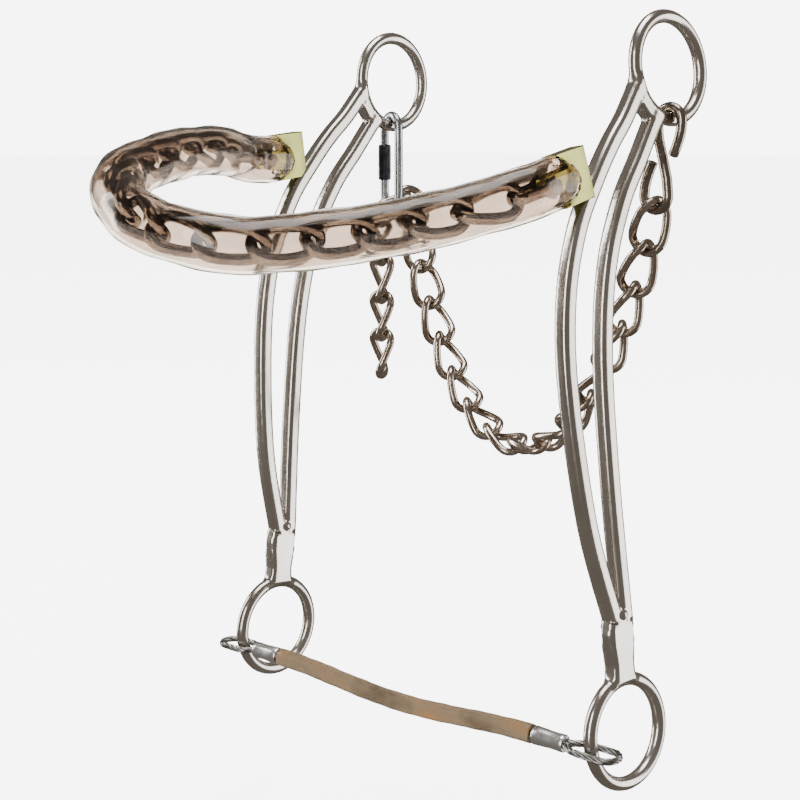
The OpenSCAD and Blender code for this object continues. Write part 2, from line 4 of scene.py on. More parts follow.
import bpy
import numpy as np
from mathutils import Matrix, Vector


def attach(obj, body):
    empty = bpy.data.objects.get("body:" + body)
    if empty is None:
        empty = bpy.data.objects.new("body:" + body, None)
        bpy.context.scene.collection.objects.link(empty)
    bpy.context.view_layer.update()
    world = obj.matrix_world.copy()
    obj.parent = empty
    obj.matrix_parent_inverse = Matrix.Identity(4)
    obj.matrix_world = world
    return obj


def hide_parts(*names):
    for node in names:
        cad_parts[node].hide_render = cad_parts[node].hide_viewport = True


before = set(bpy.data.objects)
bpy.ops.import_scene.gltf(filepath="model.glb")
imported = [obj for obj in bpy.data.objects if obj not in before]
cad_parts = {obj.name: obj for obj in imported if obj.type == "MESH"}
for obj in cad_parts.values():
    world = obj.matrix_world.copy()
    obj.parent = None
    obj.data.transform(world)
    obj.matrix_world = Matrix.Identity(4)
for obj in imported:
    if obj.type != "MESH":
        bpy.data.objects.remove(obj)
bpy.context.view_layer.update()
MM = 0.001


# ---------------------------------------------------------------- vectors
def vec(*a):
    return np.array(a, float)


def unit(v):
    return v / np.linalg.norm(v)


def square_to(a, t):
    return unit(a - np.dot(a, t) * t)


def turn(axis, deg):
    c, s = math.cos(math.radians(deg)), math.sin(math.radians(deg))
    if axis == "x":
        return np.array([[1, 0, 0], [0, c, -s], [0, s, c]])
    if axis == "y":
        return np.array([[c, 0, s], [0, 1, 0], [-s, 0, c]])
    return np.array([[c, -s, 0], [s, c, 0], [0, 0, 1]])


# How each cheek piece hangs: splay, lean and toe, and its headstall ring's centre.
NEAR_TURN = turn("z", -2.3) @ turn("y", -7.0)
FAR_TURN = turn("z", -2.3) @ turn("y", 1.5) @ turn("x", -7.0)
NEAR_AT = vec(64.0, -1.6, 0.6)
FAR_AT = vec(64.0, 1.6, -0.6)
FLIP = np.diag([-1.0, 1.0, 1.0])


def near_pt(p):
    return np.asarray(p, float) @ NEAR_TURN.T + NEAR_AT


def far_pt(p):
    return (np.asarray(p, float) @ FAR_TURN.T + FAR_AT) @ FLIP


# ---------------------------------------------------------------- curves
def spline(points, n):
    p = np.array(points, float)
    out = []
    for i in range(len(p) - 1):
        a, b = p[max(i - 1, 0)], p[i]
        c, d = p[i + 1], p[min(i + 2, len(p) - 1)]
        for j in range(n):
            k = j / n
            out.append(0.5 * (2 * b + (c - a) * k + (2 * a - 5 * b + 4 * c - d) * k * k
                              + (3 * b - a - 3 * c + d) * k ** 3))
    return np.array(out + [p[-1]])


def run_lengths(p):
    return np.concatenate([[0], np.cumsum(np.linalg.norm(np.diff(p, axis=0), axis=1))])


def along(p, r, s):
    return np.array([np.interp(s, r, p[:, i]) for i in range(3)]).T


def even(p, n):
    r = run_lengths(p)
    return along(p, r, np.linspace(0, r[-1], n))


def tangents(p, closed):
    if closed:
        t = np.roll(p, -1, 0) - np.roll(p, 1, 0)
    else:
        t = np.gradient(p, axis=0)
    return t / np.linalg.norm(t, axis=1)[:, None]


def frames(p, closed, up):
    """Two directions across the path at each point, carried along without spin."""
    t = tangents(p, closed)
    b = square_to(np.asarray(up, float), t[0])
    out = []
    for i in range(len(p)):
        b = square_to(b, t[i])
        out.append(b)
    b = np.array(out)
    if closed:
        last = square_to(b[-1], t[0])
        spin = math.atan2(np.dot(np.cross(b[0], last), t[0]), np.dot(b[0], last))
        a = np.cross(b, t)
        w = -spin * np.arange(len(p)) / len(p)
        b = b * np.cos(w)[:, None] - a * np.sin(w)[:, None]
    return np.cross(b, t), b


# ---------------------------------------------------------------- meshes
def mesh(name, verts, faces, sharp=35):
    m = bpy.data.meshes.new(name)
    m.from_pydata((np.asarray(verts) * MM).tolist(), [], [list(map(int, f)) for f in faces])
    m.validate()
    m.polygons.foreach_set("use_smooth", [True] * len(m.polygons))
    if sharp:
        m.set_sharp_from_angle(angle=math.radians(sharp))
    m.update()
    o = bpy.data.objects.new(name, m)
    bpy.context.scene.collection.objects.link(o)
    return o


def grid_faces(m, n, closed, base=0):
    f = []
    for i in range(m if closed else m - 1):
        j = (i + 1) % m
        for k in range(n):
            l = (k + 1) % n
            f.append((base + i * n + k, base + i * n + l, base + j * n + l, base + j * n + k))
    return f


def sweep_data(path, wide, tall, n, closed=False, up=(0, 0, 1), round_end=0.0):
    """Verts and faces of wire along a path, with half widths and half heights."""
    p = np.array(path, float)
    w = np.full(len(p), wide, float) if np.isscalar(wide) else np.array(wide, float)
    h = np.full(len(p), tall, float) if np.isscalar(tall) else np.array(tall, float)
    if round_end and not closed:
        t = tangents(p, False)
        p = np.concatenate([[p[0]], [p[0] + t[0] * round_end * 0.35],
                            [p[0] + t[0] * round_end], p[1:-1],
                            [p[-1] - t[-1] * round_end], [p[-1] - t[-1] * round_end * 0.35],
                            [p[-1]]])
        edge = [round_end, round_end * 0.25, 0]
        w = np.concatenate([[w[0]] * 3, w[1:-1], [w[-1]] * 3])
        h = np.concatenate([[h[0]] * 3, h[1:-1], [h[-1]] * 3])
        for i, e in enumerate(edge):
            w[i] -= e
            h[i] -= e
            w[-1 - i] -= e
            h[-1 - i] -= e
    a, b = frames(p, closed, up)
    ang = np.arange(n) * 2 * math.pi / n
    rings = (p[:, None, :] + a[:, None, :] * (w[:, None] * np.cos(ang))[:, :, None]
             + b[:, None, :] * (h[:, None] * np.sin(ang))[:, :, None])
    v = rings.reshape(-1, 3)
    f = grid_faces(len(p), n, closed)
    if not closed:
        f.append(tuple(range(n - 1, -1, -1)))
        f.append(tuple(range((len(p) - 1) * n, len(p) * n)))
    return v, f


def join_data(parts):
    v, f, base = [], [], 0
    for pv, pf in parts:
        v.append(np.asarray(pv))
        f += [tuple(i + base for i in q) for q in pf]
        base += len(pv)
    return np.concatenate(v), f


def prism_data(outline, x0, x1, r, frame_of, seg=3):
    """An outline of (y, z) points between x0 and x1 with rounded edges of radius r."""
    o = np.array(outline, float)
    area = np.sum(o[:, 0] * np.roll(o[:, 1], -1) - np.roll(o[:, 0], -1) * o[:, 1])
    if area < 0:
        o = o[::-1]
    e1 = o - np.roll(o, 1, 0)
    e2 = np.roll(o, -1, 0) - o
    e1 /= np.linalg.norm(e1, axis=1)[:, None]
    e2 /= np.linalg.norm(e2, axis=1)[:, None]
    n1 = np.stack([-e1[:, 1], e1[:, 0]], 1)
    n2 = np.stack([-e2[:, 1], e2[:, 0]], 1)
    m = n1 + n2
    m /= np.maximum((m * m).sum(1) / 2, 0.35)[:, None]
    rings = []
    for i in range(seg + 1):
        a = math.pi / 2 * i / seg
        q = o + m * r * (1 - math.sin(a))
        rings.append(np.column_stack([np.full(len(o), x0 + r * (1 - math.cos(a))), q]))
    for i in range(seg, -1, -1):
        a = math.pi / 2 * i / seg
        q = o + m * r * (1 - math.sin(a))
        rings.append(np.column_stack([np.full(len(o), x1 - r * (1 - math.cos(a))), q]))
    n = len(o)
    v = np.concatenate(rings)
    f = grid_faces(len(rings), n, False)
    f.append(tuple(range(n - 1, -1, -1)))
    f.append(tuple(range((len(rings) - 1) * n, len(rings) * n)))
    return frame_of(v), f


def revolve_data(profile, frame_of, n=32):
    """A profile of (radius, along) points turned about the local Y axis."""
    p = np.array(profile, float)
    ang = np.arange(n) * 2 * math.pi / n
    v = np.stack([p[:, None, 0] * np.cos(ang), np.repeat(p[:, 1][:, None], n, 1),
                  p[:, None, 0] * np.sin(ang)], 2).reshape(-1, 3)
    f = grid_faces(len(p), n, False)
    f.append(tuple(range(n - 1, -1, -1)))
    f.append(tuple(range((len(p) - 1) * n, len(p) * n)))
    return frame_of(v), f


def placer(at, x, y):
    z = np.cross(x, y)
    rows = np.array([x, y, z])
    return lambda v: np.asarray(v) @ rows + at


# ---------------------------------------------------------------- materials
def material(name, base, metallic, rough, **extra):
    m = bpy.data.materials.new(name)
    m.use_nodes = True
    nt = m.node_tree
    b = nt.nodes["Principled BSDF"]
    b.inputs["Base Color"].default_value = (*base, 1)
    b.inputs["Metallic"].default_value = metallic
    b.inputs["Roughness"].default_value = rough
    for k, v in extra.items():
        b.inputs[k.replace("_", " ")].default_value = v
    return m, nt, b


def ramp(nt, source, stops):
    r = nt.nodes.new("ShaderNodeValToRGB")
    e = r.color_ramp.elements
    while len(e) < len(stops):
        e.new(0.5)
    for el, (at, c) in zip(e, stops):
        el.position = at
        el.color = (*c, 1) if len(c) == 3 else c
    nt.links.new(source, r.inputs["Fac"])
    return r.outputs["Color"]


def noise(nt, scale, detail=3.0, rough=0.55, stretch=None):
    c = nt.nodes.new("ShaderNodeTexCoord")
    n = nt.nodes.new("ShaderNodeTexNoise")
    for key, value in (("Scale", scale), ("Detail", detail), ("Roughness", rough)):
        n.inputs[key].default_value = value
    if stretch:
        mp = nt.nodes.new("ShaderNodeMapping")
        mp.inputs["Scale"].default_value = stretch
        nt.links.new(c.outputs["Object"], mp.inputs["Vector"])
        nt.links.new(mp.outputs["Vector"], n.inputs["Vector"])
    else:
        nt.links.new(c.outputs["Object"], n.inputs["Vector"])
    return n.outputs["Fac"]


def bump(nt, b, height, strength, distance):
    bp = nt.nodes.new("ShaderNodeBump")
    bp.inputs["Strength"].default_value = strength
    bp.inputs["Distance"].default_value = distance
    nt.links.new(height, bp.inputs["Height"])
    nt.links.new(bp.outputs["Normal"], b.inputs["Normal"])


def worn_metal(name, base, dark, rough, rough_spread=0.08, bumpy=0.0, patch=60, spots=0.0):
    m, nt, b = material(name, base, 1.0, rough)
    col = ramp(nt, noise(nt, patch, 4), [(0.35, dark), (0.62, base)])
    if spots:
        mix = nt.nodes.new("ShaderNodeMix")
        mix.data_type = "RGBA"
        f = ramp(nt, noise(nt, patch * 5, 3), [(0.60, (0, 0, 0)), (0.72, (spots,) * 3)])
        nt.links.new(f, mix.inputs["Factor"])
        nt.links.new(col, mix.inputs["A"])
        mix.inputs["B"].default_value = (0.16, 0.08, 0.04, 1)
        col = mix.outputs["Result"]
    nt.links.new(col, b.inputs["Base Color"])
    rr = ramp(nt, noise(nt, patch * 2.3, 5),
              [(0.3, (max(rough - rough_spread, 0.03),) * 3), (0.7, (rough + rough_spread,) * 3)])
    nt.links.new(rr, b.inputs["Roughness"])
    if bumpy:
        bump(nt, b, noise(nt, patch * 6, 4), bumpy, 0.0002)
    return m


CHEEK = worn_metal("polished_cheek_steel", (0.70, 0.655, 0.60), (0.58, 0.53, 0.475), 0.2, 0.03, 0.0, 30)
LUG = worn_metal("lug_steel", (0.40, 0.40, 0.13), (0.32, 0.32, 0.10), 0.24, 0.03, 0.0, 60)
CURB = worn_metal("curb_chain_steel", (0.62, 0.54, 0.46), (0.42, 0.34, 0.27), 0.18, 0.05, 0.08, 120, 0.25)
HOOK = worn_metal("hook_steel", (0.44, 0.38, 0.32), (0.28, 0.23, 0.18), 0.2, 0.06, 0.1, 120, 0.2)
NOSE = worn_metal("noseband_chain_steel", (0.25, 0.22, 0.19), (0.11, 0.09, 0.08), 0.2, 0.05, 0.05, 110, 0.3)
RIVET = worn_metal("rivet_steel", (0.30, 0.28, 0.26), (0.16, 0.14, 0.12), 0.3, 0.06, 0.1, 150)
ZINC = worn_metal("zinc_plate", (0.56, 0.58, 0.62), (0.42, 0.43, 0.47), 0.24, 0.06, 0.1, 120)
BLACK = worn_metal("dark_sleeve_nut", (0.10, 0.10, 0.11), (0.05, 0.05, 0.06), 0.32, 0.06, 0.1, 200)
ROPE = worn_metal("wire_rope_steel", (0.46, 0.45, 0.43), (0.24, 0.22, 0.20), 0.3, 0.08, 0.1, 200, 0.3)
FERRULE = worn_metal("ferrule_alloy", (0.88, 0.88, 0.87), (0.74, 0.74, 0.73), 0.3, 0.05, 0.0, 200)


def clear_tube_material():
    m, nt, b = material("clear_tube_pvc", (0.58, 0.50, 0.44), 0.0, 0.06,
                        Transmission_Weight=1.0, IOR=1.16, Coat_Weight=0.5, Coat_Roughness=0.1)
    c = nt.nodes.new("ShaderNodeTexCoord")
    sx = nt.nodes.new("ShaderNodeSeparateXYZ")
    nt.links.new(c.outputs["Object"], sx.inputs["Vector"])
    # Rust has crept along the tube's far front bend.
    neg = nt.nodes.new("ShaderNodeMath")
    neg.operation = "MULTIPLY_ADD"
    neg.inputs[1].default_value = -9.0
    neg.inputs[2].default_value = 0.25
    nt.links.new(sx.outputs["X"], neg.inputs[0])
    fore = nt.nodes.new("ShaderNodeMath")
    fore.operation = "MULTIPLY_ADD"
    fore.inputs[1].default_value = -16.0
    fore.inputs[2].default_value = -1.65
    nt.links.new(sx.outputs["Y"], fore.inputs[0])
    both = nt.nodes.new("ShaderNodeMath")
    both.operation = "MULTIPLY"
    both.use_clamp = True
    nt.links.new(neg.outputs[0], both.inputs[0])
    nt.links.new(fore.outputs[0], both.inputs[1])
    spot = ramp(nt, noise(nt, 85, 5, 0.6), [(0.42, (0, 0, 0)), (0.68, (1, 1, 1))])
    mask = nt.nodes.new("ShaderNodeMath")
    mask.operation = "MULTIPLY"
    mask.use_clamp = True
    nt.links.new(both.outputs[0], mask.inputs[0])
    nt.links.new(spot, mask.inputs[1])
    base = ramp(nt, noise(nt, 35, 3), [(0.3, (0.50, 0.42, 0.35)), (0.7, (0.64, 0.56, 0.49))])
    mix = nt.nodes.new("ShaderNodeMix")
    mix.data_type = "RGBA"
    nt.links.new(mask.outputs[0], mix.inputs["Factor"])
    nt.links.new(base, mix.inputs["A"])
    mix.inputs["B"].default_value = (0.55, 0.30, 0.13, 1)
    nt.links.new(mix.outputs["Result"], b.inputs["Base Color"])
    return m


def sleeve_material():
    m, nt, b = material("aged_sleeve_plastic", (0.09, 0.06, 0.035), 0.0, 0.2,
                        Transmission_Weight=0.35, IOR=1.4, Coat_Weight=0.4, Coat_Roughness=0.12)
    col = ramp(nt, noise(nt, 60, 5, 0.6, (0.5, 1, 1)),
               [(0.30, (0.025, 0.017, 0.01)), (0.5, (0.075, 0.052, 0.03)), (0.72, (0.13, 0.055, 0.015))])
    nt.links.new(col, b.inputs["Base Color"])
    bump(nt, b, noise(nt, 120, 3), 0.2, 0.0004)
    return m


TUBE = clear_tube_material()
SLEEVE = sleeve_material()


def dress(obj, mat, body, cad):
    obj.data.materials.clear()
    obj.data.materials.append(mat)
    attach(obj, body)
    if cad:
        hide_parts(cad)
    return obj


# ---------------------------------------------------------------- cheek pieces
RING_R, WIRE_R = 16.0, 2.15
REIN = vec(-42.0, -201.0)
SLOT_LOW = REIN + vec(0, 37)
BAR_W, BAR_T = 5.6, 5.4


def lower(k, u):
    return (u, -69 + (SLOT_LOW[1] + 69) * k)


FRONT = spline([(-RING_R + 0.8, -5), (-23.2, -15.6), (-30.6, -23.6), (-38.4, -33.6),
                (-48, -48.5), (-54.8, -69),
                lower(0.28, -56.6), lower(0.7, -52.6), SLOT_LOW + vec(-2.6, -1)], 6)
REAR = spline([(-RING_R * 0.5, -RING_R * 0.87), (-17.5, -27.5), (-27.5, -41.5), (-36, -61),
               lower(0.2, -40.5), lower(0.6, -41), SLOT_LOW + vec(2.4, -1)], 6)


WEB = np.array([(18.2 * math.cos(t), 18.2 * math.sin(t)) for t in np.radians(np.arange(202, 243, 5))])


def to_line(p, line):
    """Distance of (y, z) points from a polyline, and how far along each nearest point is."""
    best = np.full(len(p), 1e9)
    for a, b in zip(line[:-1], line[1:]):
        d = b - a
        t = np.clip(((p - a) @ d) / (d @ d), 0, 1)
        e = p - a - t[:, None] * d
        best = np.minimum(best, (e * e).sum(1))
    return np.sqrt(best)


def bar_field(p, line, half_w, half_t, r):
    q = np.stack([to_line(p[:, 1:], line) - (half_w - r), np.abs(p[:, 0]) - (half_t - r)], 1)
    out = np.linalg.norm(np.maximum(q, 0), axis=1)
    return out + np.minimum(q.max(1), 0) - r


def blend_min(a, b, k):
    h = np.clip(0.5 + 0.5 * (b - a) / k, 0, 1)
    return b + (a - b) * h - k * h * (1 - h)


def cheek_field(p):
    def torus(c):
        rad = np.hypot(p[:, 1] - c[0], p[:, 2] - c[1])
        return rad, np.hypot(rad - RING_R, p[:, 0]) - WIRE_R
    rad0, ring0 = torus((0, 0))
    rad1, ring1 = torus(REIN)
    bars = blend_min(bar_field(p, FRONT, BAR_W / 2, BAR_T / 2, 1.8),
                     bar_field(p, REAR, BAR_W / 2, BAR_T / 2, 1.8), 1.0)
    bars = blend_min(bars, bar_field(p, WEB, 1.9, BAR_T / 2 - 0.3, 0.9), 0.8)
    z = p[:, 2]
    half = np.interp(z, [REIN[1] + 15, REIN[1] + 21, SLOT_LOW[1] - 6, SLOT_LOW[1]],
                     [5.2, 4.6, 5.9, 4.6])
    mid = np.interp(z, [REIN[1] + 14, SLOT_LOW[1]], [REIN[0] - 0.6, REIN[0] - 0.4])
    q = np.stack([np.abs(p[:, 1] - mid) - (half - 1.4), np.abs(p[:, 0]) - (BAR_T / 2 - 1.4)], 1)
    plate = np.linalg.norm(np.maximum(q, 0), axis=1) + np.minimum(q.max(1), 0) - 1.4
    plate = np.maximum(plate, z - (SLOT_LOW[1] - 2.5))
    plate = np.maximum(plate, REIN[1] + 13 - z)
    body = blend_min(bars, plate, 1.2)
    body = np.maximum(body, RING_R - rad0)
    body = np.maximum(body, RING_R - rad1)
    bead = np.linalg.norm((p - vec(0, SLOT_LOW[0] - 0.2, SLOT_LOW[1] - 0.6)) / vec(1.75, 1, 1),
                          axis=1) - 2.25
    body = blend_min(body, bead, 0.25)
    return blend_min(blend_min(body, ring0, 1.6), ring1, 1.6)


def gradient(p, e=0.02):
    g = np.zeros_like(p)
    for i in range(3):
        d = np.zeros(3)
        d[i] = e
        g[:, i] = (cheek_field(p + d) - cheek_field(p - d)) / (2 * e)
    return g


def cheek_skin(voxel):
    """One closed skin round the welded cheek piece, drawn down onto its exact surface."""
    ring = [(0, 0), tuple(REIN)]
    ang = np.arange(64) * 2 * math.pi / 64
    parts = []
    for c in ring:
        path = np.stack([0 * ang, c[0] + RING_R * np.cos(ang), c[1] + RING_R * np.sin(ang)], 1)
        parts.append(sweep_data(path, WIRE_R, WIRE_R, 16, True, (1, 0, 0)))
    for line in (FRONT, REAR, WEB):
        path = np.column_stack([np.zeros(len(line)), line])
        parts.append(sweep_data(path, BAR_W / 2, BAR_T / 2, 16, False, (1, 0, 0)))
    plate = np.array([(0, REIN[0] - 0.6, REIN[1] + 15.5), (0, REIN[0] - 0.4, SLOT_LOW[1] + 0.5)])
    parts.append(sweep_data(plate, 5.2, BAR_T / 2, 16, False, (1, 0, 0)))
    v, f = join_data(parts)
    o = mesh("cheek_blank", v, f, 0)
    mod = o.modifiers.new("skin", "REMESH")
    mod.mode = "VOXEL"
    mod.voxel_size = voxel * MM
    done = bpy.data.meshes.new_from_object(o.evaluated_get(bpy.context.evaluated_depsgraph_get()))
    p = np.zeros(len(done.vertices) * 3)
    done.vertices.foreach_get("co", p)
    p = p.reshape(-1, 3) / MM
    faces = [tuple(q.vertices) for q in done.polygons]
    bpy.data.objects.remove(o)
    for i in range(5):
        g = gradient(p)
        n2 = np.maximum((g * g).sum(1), 0.2)
        p = p - g * (np.clip(cheek_field(p), -0.6, 0.6) / n2)[:, None]
    return p, faces


skin, skin_faces = cheek_skin(0.55)
for name, place in (("near_cheek", near_pt), ("far_cheek", far_pt)):
    flip = name == "far_cheek"
    fs = [f[::-1] for f in skin_faces] if flip else skin_faces
    dress(mesh(name + "_look", place(skin), fs, 0), CHEEK, "cheeks", name)

# ---------------------------------------------------------------- lugs
PIVOT = vec(0.5, -60.0, -35.4)
near_end, far_end = near_pt(PIVOT), far_pt(PIVOT)
hinge = unit(near_end - far_end)


def rearward(deg):
    a = math.radians(deg)
    return vec(0, math.cos(a), math.sin(a))


near_back = square_to(near_pt(PIVOT + rearward(13.5)) - near_end, hinge)
far_back = square_to(far_pt(PIVOT + rearward(3.5)) - far_end, hinge)
near_frame = placer(near_end, hinge, near_back)
far_frame = placer(far_end, hinge, far_back)
END_R = 8.2


def lug_outline():
    r, h = END_R + 0.3, 7.9
    a = math.asin(h / r)
    arc = [(r * math.cos(t), r * math.sin(t)) for t in np.linspace(-a, a, 15)]
    return arc + [(16.3, h), (16.3, -h)]


def lug_local(v):
    m = turn("x", 13.5)
    return np.asarray(v) @ m.T + PIVOT


def tongue_outline():
    r = 3.3
    arc = [(r * math.cos(t), r * math.sin(t)) for t in np.linspace(math.pi / 2, 3 * math.pi / 2, 17)]
    return arc + [(END_R + 1.5, -r), (END_R + 1.5, r)]


for name, place, fr in (("near_lug", near_pt, near_frame), ("far_lug", far_pt, far_frame)):
    block = prism_data(lug_outline(), -2.9, 2.9, 0.35, lambda v: place(lug_local(v)))
    tongue = prism_data(tongue_outline(), -1.7, 1.7, 0.3, fr)
    if name == "far_lug":
        block = (block[0], [q[::-1] for q in block[1]])
    v, f = join_data([block, tongue])
    dress(mesh(name + "_look", v, f), LUG, "cheeks", name)

# ---------------------------------------------------------------- noseband
end_mid = (near_end + far_end) / 2
half_span = np.linalg.norm(near_end - far_end) / 2
NOSE_SHAPE = [(54.6, -27, -10.4), (44.6, -51.3, -14.9), (30.5, -79.3, -17.8), (17, -91.1, -16),
              (-0.4, -95.7, -11.8), (-17.5, -91.1, -6), (-31.5, -79.3, 0), (-45.4, -51.3, 5.4),
              (-55, -27, 6.4)]
TAIL = END_R + 3
nose_line = spline(
    [near_end + near_back * TAIL, near_end, near_end - near_back * 8]
    + [end_mid + vec(p[0] * half_span / 63.9, p[1], p[2]) for p in NOSE_SHAPE]
    + [far_end - far_back * 8, far_end, far_end + far_back * TAIL], 5)
nose_runs = run_lengths(nose_line)
nose_len = nose_runs[-1]


def press(s):
    k = np.clip((s - TAIL - 4) / 17.0, 0, 1)
    return k * k * (3 - 2 * k)


def tube_skin():
    s = np.concatenate([[TAIL - END_R + 0.02], TAIL - END_R + np.array([0.6, 1.6, 3.2, 5.2, 7]),
                        np.linspace(TAIL, nose_len - TAIL, 150),
                        nose_len - TAIL + END_R - np.array([7, 5.2, 3.2, 1.6, 0.6]),
                        [nose_len - TAIL + END_R - 0.02]])
    n = 40
    ang = np.arange(n) * 2 * math.pi / n
    fine = even(nose_line, 800)
    fr = run_lengths(fine)
    smooth = fine.copy()
    for _ in range(60):
        smooth[1:-1] = (smooth[:-2] + 2 * smooth[1:-1] + smooth[2:]) / 4
    p = along(smooth, fr, s * fr[-1] / nose_len)
    t = tangents(p, False)
    b = np.array([square_to(vec(0, 0, 1), q) for q in t])
    a = np.cross(b, t)
    near = np.minimum(s, nose_len - s)
    k = press(near)
    wide = (13 + (16.6 - 13) * k) / 2
    tall = (16.4 + (16.6 - 16.4) * k) / 2
    # The end is cut round about the rivet: nearer the end only the sides remain.
    over = np.clip((TAIL - near) / END_R, 0, 0.9999)
    cut = np.sqrt(1 - over ** 2)
    rings = []
    for less in (0.05, 1.25):
        w, h = wide - less, tall - less
        y = np.outer(h, np.sin(ang))
        x = np.outer(w, np.cos(ang))
        lim = (END_R * cut)[:, None]
        yc = np.clip(y, -lim, lim)
        lump = 0.16 * np.sin(ang * 2 + s[:, None] * 0.21) + 0.12 * np.sin(s[:, None] * 0.43 + ang * 3)
        lump = (lump - 0.28) * np.minimum(1, k)[:, None] * (1 if less < 1 else 0.4)
        x = x + lump * np.cos(ang)
        yc = yc + lump * np.sin(ang)
        rings.append(p[:, None, :] + a[:, None, :] * x[:, :, None] + b[:, None, :] * yc[:, :, None])
    v = np.concatenate([rings[0], rings[1][::-1]]).reshape(-1, 3)
    return v, grid_faces(2 * len(s), n, True)


v, f = tube_skin()
dress(mesh("noseband_tube_look", v, f, 50), TUBE, "noseband", "noseband_tube")

HALF_T, STRAP = 1.7, 1.4
INNER = 2.3
BEND = 3.3 + 3.4 + 5.5


def rivet_data(fr):
    half = INNER + STRAP
    prof = [(0.4, -half - 0.42), (1.6, -half - 0.36), (2.2, -half - 0.1), (2.25, -half + 0.05),
            (1.5, -half + 0.1), (1.5, half - 0.1), (2.25, half - 0.05), (2.2, half + 0.1),
            (1.6, half + 0.36), (0.4, half + 0.42)]
    swap = np.array([[0, -1, 0], [1, 0, 0], [0, 0, 1.0]])
    return revolve_data(prof, lambda v: fr(np.asarray(v) @ swap), 24)


def shackle_data(fr):
    """A strap from one rivet eye, round the first link, to the other eye."""
    r = INNER + STRAP / 2
    leg = np.linspace(0, -BEND, 14)
    bend = [(-r * math.cos(t), -BEND - r * math.sin(t)) for t in np.linspace(0, math.pi, 15)][1:-1]
    path = np.array([(-r, y, 0) for y in leg] + [(x, y, 0) for x, y in bend]
                    + [(r, y, 0) for y in leg[::-1]])
    tall = np.array([1.7 + 1.7 * max(0, 1 - (abs(y) / 4.2) ** 2) for y in path[:, 1]])
    v, f = sweep_data(path, STRAP / 2, tall, 12, False, (0, 0, 1))
    return fr(v), f


for side, fr in (("near", near_frame), ("far", far_frame)):
    v, f = rivet_data(fr)
    dress(mesh(side + "_rivet_look", v, f), RIVET, "noseband", side + "_rivet")
    v, f = shackle_data(fr)
    dress(mesh(side + "_shackle_look", v, f), NOSE, "noseband", side + "_shackle")


# ---------------------------------------------------------------- chain links
def link_data(mid, t, side, h, w, d, twist=90, steps=44, n=14, pinch=0.0):
    """A curb link: a long loop of wire twisted about its own length."""
    ez = unit(np.asarray(t, float))
    ex = square_to(np.asarray(side, float), ez)
    ey = np.cross(ez, ex)
    q = steps // 2
    pts = []
    for i in range(steps):
        k, s = i % q, (1 if i < q else -1)
        arc = int(q * 0.72)
        if k <= arc:
            a = math.pi * k / arc
            x, z = s * w * math.cos(a), s * (h - w + w * math.sin(a))
        else:
            g = (k - arc) / (q - arc)
            x, z = -s * w, s * (h - w) * (1 - 2 * g)
        pts.append((x, z))
    pts = np.array(pts)
    a = np.radians(twist / 2 * pts[:, 1] / h)
    path = (np.asarray(mid) + np.outer(pts[:, 0] * np.cos(a), ex)
            + np.outer(pts[:, 0] * np.sin(a), ey) + np.outer(pts[:, 1], ez))
    return sweep_data(path, d / 2, d / 2, n, True, ey)


GAP = 0.15
NOSE_WIRE, NOSE_W, NOSE_GAP, NOSE_LINKS = 3.4, 12.2, 0.7, 15
joint_0 = TAIL + BEND + (NOSE_WIRE + NOSE_GAP) / 2
nose_pitch = (nose_len - 2 * joint_0) / NOSE_LINKS
nose_h = (nose_pitch + NOSE_WIRE + NOSE_GAP) / 2
near_hold, far_hold = near_end - near_back * BEND, far_end - far_back * BEND
for i in range(1, NOSE_LINKS + 1):
    a = along(nose_line, nose_runs, joint_0 + nose_pitch * (i - 1))
    b = along(nose_line, nose_runs, joint_0 + nose_pitch * i)
    t, mid = unit(b - a), (a + b) / 2
    if i == 1:
        t = unit(b - near_hold)
        mid = near_hold + t * nose_h
    if i == NOSE_LINKS:
        t = unit(far_hold - a)
        mid = far_hold - t * nose_h
    level = unit(np.cross(t, vec(0, 0, 1)))
    roll = math.radians(90 + 45 * (1 - 2 * (i - 0.5) / NOSE_LINKS) ** 3)
    side = level * math.cos(roll) + np.cross(t, level) * math.sin(roll)
    v, f = link_data(mid, t, side, nose_h, (NOSE_W - NOSE_WIRE) / 2, NOSE_WIRE)
    name = "noseband_link_%02d" % i
    dress(mesh(name + "_look", v, f, 0), NOSE, "noseband", name)

# ---------------------------------------------------------------- curb chain
near_foot = near_pt((0, -1, -RING_R))
far_foot = far_pt((0, 1, -RING_R))
HOOK_WIRE, HOOK_H, HOOK_R = 3.4, 35.5, 4.6
hook_seat = near_foot + vec(0, 0, (4.3 + HOOK_WIRE) / 2 + 0.05)
hook_low = hook_seat - vec(0, 0, HOOK_H - HOOK_WIRE)
top_c = hook_seat + vec(0, 0, -HOOK_R)
low_c = hook_low + vec(-4.4, 0, HOOK_R)


def arc_xz(c, r, a0, a1, n):
    a = np.radians(np.linspace(a0, a1, n + 1))
    return [c + vec(r * math.cos(t), 0, r * math.sin(t)) for t in a]


p0, p1 = top_c + vec(-HOOK_R, 0, -3), low_c + vec(HOOK_R, 0, 3)
hook_path = ([top_c + vec(1.5, 0, -10.5), top_c + vec(2.7, 0, -8), top_c + vec(3.7, 0, -5.3),
              top_c + vec(4.4, 0, -2.6)]
             + arc_xz(top_c, HOOK_R, 0, 180, 18)
             + [p0 + (p1 - p0) * k for k in (0.12, 0.37, 0.63, 0.88)]
             + arc_xz(low_c, HOOK_R, 0, -180, 18)
             + [low_c + vec(-4.4, 0, 2.6), low_c + vec(-3.7, 0, 5.3), low_c + vec(-2.7, 0, 8),
                low_c + vec(-1.5, 0, 10.5)])
v, f = sweep_data(hook_path, HOOK_WIRE / 2 - 0.02, HOOK_WIRE / 2 - 0.02, 20, False, (0, 1, 0), 0.35)
dress(mesh("s_hook_look", v, f), HOOK, "curb", "s_hook")

